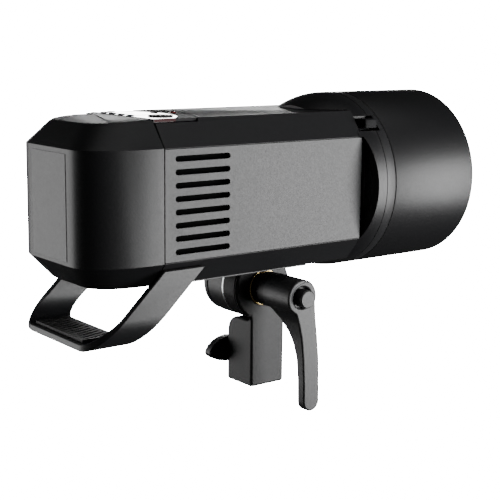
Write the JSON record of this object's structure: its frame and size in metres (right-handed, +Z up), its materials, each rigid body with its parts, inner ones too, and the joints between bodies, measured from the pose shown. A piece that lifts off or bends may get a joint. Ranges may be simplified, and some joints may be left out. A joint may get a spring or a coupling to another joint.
{
  "type": "monolight strobe",
  "caption": "Battery-powered studio strobe head with a lamp cover, a carry handle and a tilting stand bracket with a clamp lever.",
  "frame": {"origin": "centre of the stand socket's mouth, on the underside of the bracket block", "axes": "+X is the direction of the light, +Z up the stand's axis, +Y to the left of the light"},
  "size_m": [0.3294, 0.13, 0.2224],
  "materials": {
    "satin_black": "satin moulded, fine grain",
    "side_panel_black": "fine textured",
    "rubber_black": "matt",
    "gloss_panel": "gloss",
    "blank_label": "satin film, blank",
    "powder_coat_black": "powder coat",
    "brass": "turned",
    "steel": "turned",
    "aluminium": "satin",
    "frosted_glass": "frosted",
    "flash_tube_glass": "clear",
    "ceramic": "matt ceramic",
    "circuit_board": "solder mask",
    "capacitor_sleeve": "shrink sleeve",
    "cell_wrap": "shrink wrap",
    "red_window": "clear red"
  },
  "bodies": {
    "bracket": {"stand_bracket": "powder_coat_black", "brass_washer": "brass", "tilt_bolt": "steel"},
    "lever": {"clamp_lever": "powder_coat_black"},
    "lever_button": {"lever_button": "powder_coat_black"},
    "stand_screw": {"stand_screw": "powder_coat_black"},
    "head": {"main_housing": "satin_black", "bottom_plate": "satin_black", "side_panel_left": "side_panel_black", "side_panel_right": "side_panel_black", "barrel_cowl": "satin_black", "bayonet_ring": "aluminium", "reflector_plate": "aluminium", "tube_socket": "ceramic", "glass_dome": "frosted_glass", "modelling_lamp": "ceramic", "flash_tube": "flash_tube_glass", "main_board": "circuit_board", "control_board": "circuit_board", "flash_capacitor_1": "capacitor_sleeve", "flash_capacitor_2": "capacitor_sleeve", "flash_capacitor_3": "capacitor_sleeve", "flash_capacitor_4": "capacitor_sleeve", "heat_sink": "aluminium", "fan_frame": "satin_black", "control_panel": "gloss_panel", "sensor_band": "satin_black", "display_window": "gloss_panel", "slave_sensor": "red_window", "terminal_block": "brass", "carry_handle": "satin_black", "grip_pad": "rubber_black", "tilt_knuckle": "powder_coat_black", "friction_disc": "powder_coat_black", "tilt_washer": "steel"},
    "fan": {"fan_rotor": "satin_black"},
    "dial": {"control_dial": "rubber_black"},
    "set_key": {"set_button": "satin_black"},
    "mode_key": {"mode_button": "rubber_black"},
    "menu_key": {"menu_button": "rubber_black"},
    "lamp_key": {"lamp_button": "rubber_black"},
    "wireless_key": {"wireless_button": "rubber_black"},
    "test_key": {"test_button": "rubber_black"},
    "power_key": {"power_button": "rubber_black"},
    "release": {"mount_release": "satin_black"},
    "battery": {"battery_case": "satin_black", "rating_plate": "blank_label", "cell_contacts": "brass", "battery_cell_1": "cell_wrap", "battery_cell_2": "cell_wrap", "battery_cell_3": "cell_wrap", "battery_cell_4": "cell_wrap", "battery_cell_5": "cell_wrap", "battery_cell_6": "cell_wrap", "battery_cell_7": "cell_wrap", "battery_cell_8": "cell_wrap"},
    "latch": {"battery_latch": "satin_black"},
    "gauge_key": {"gauge_button": "rubber_black"},
    "cover": {"lamp_cover": "satin_black"}
  },
  "joints": [
    {"name": "head_tilt", "type": "hinge", "parent": "bracket", "child": "head", "pos_m": [-0.0048, 0, 0.0741], "axis": [0, -1, 0], "range_deg": [-60, 80]},
    {"name": "lever_turn", "type": "hinge", "parent": "bracket", "child": "lever", "pos_m": [-0.0048, 0, 0.0741], "axis": [0, -1, 0], "range_deg": [-45, 45]},
    {"name": "lever_button_press", "type": "slide", "parent": "lever", "child": "lever_button", "axis": [0, 1, 0], "range_m": [0, 0.002], "stiffness_N_per_m": 600},
    {"name": "stand_screw_turn", "type": "hinge", "parent": "bracket", "child": "stand_screw", "pos_m": [0, 0, 0.0192], "axis": [0, 1, 0], "continuous": true},
    {"name": "fan_spin", "type": "hinge", "parent": "head", "child": "fan", "pos_m": [-0.0833, -0.0356, 0.1473], "axis": [0, 1, 0], "continuous": true},
    {"name": "dial_turn", "type": "hinge", "parent": "head", "child": "dial", "pos_m": [-0.0983, -0.0221, 0.201], "axis": [0, 0, 1], "continuous": true},
    {"name": "set_press", "type": "slide", "parent": "head", "child": "set_key", "axis": [0, 0, -1], "range_m": [0, 0.0004], "stiffness_N_per_m": 800},
    {"name": "mode_press", "type": "slide", "parent": "head", "child": "mode_key", "axis": [0, 0, -1], "range_m": [0, 0.0004], "stiffness_N_per_m": 800},
    {"name": "menu_press", "type": "slide", "parent": "head", "child": "menu_key", "axis": [0, 0, -1], "range_m": [0, 0.0004], "stiffness_N_per_m": 800},
    {"name": "lamp_press", "type": "slide", "parent": "head", "child": "lamp_key", "axis": [0, 0, -1], "range_m": [0, 0.0004], "stiffness_N_per_m": 800},
    {"name": "wireless_press", "type": "slide", "parent": "head", "child": "wireless_key", "axis": [0, 0, -1], "range_m": [0, 0.0004], "stiffness_N_per_m": 800},
    {"name": "test_press", "type": "slide", "parent": "head", "child": "test_key", "axis": [0, 0, -1], "range_m": [0, 0.0004], "stiffness_N_per_m": 800},
    {"name": "power_press", "type": "slide", "parent": "head", "child": "power_key", "axis": [0, 0, -1], "range_m": [0, 0.0004], "stiffness_N_per_m": 800},
    {"name": "release_slide", "type": "slide", "parent": "head", "child": "release", "axis": [-1, 0, 0], "range_m": [0, 0.0033], "stiffness_N_per_m": 300},
    {"name": "battery_slide", "type": "slide", "parent": "head", "child": "battery", "axis": [-1, 0, 0], "range_m": [0, 0.09]},
    {"name": "latch_press", "type": "slide", "parent": "battery", "child": "latch", "axis": [0, 0, -1], "range_m": [0, 0.0009], "stiffness_N_per_m": 800},
    {"name": "gauge_press", "type": "slide", "parent": "battery", "child": "gauge_key", "axis": [0, -1, 0], "range_m": [0, 0.001], "stiffness_N_per_m": 600},
    {"name": "cover_slide", "type": "slide", "parent": "head", "child": "cover", "axis": [1, 0, 0], "range_m": [0, 0.1]}
  ]
}
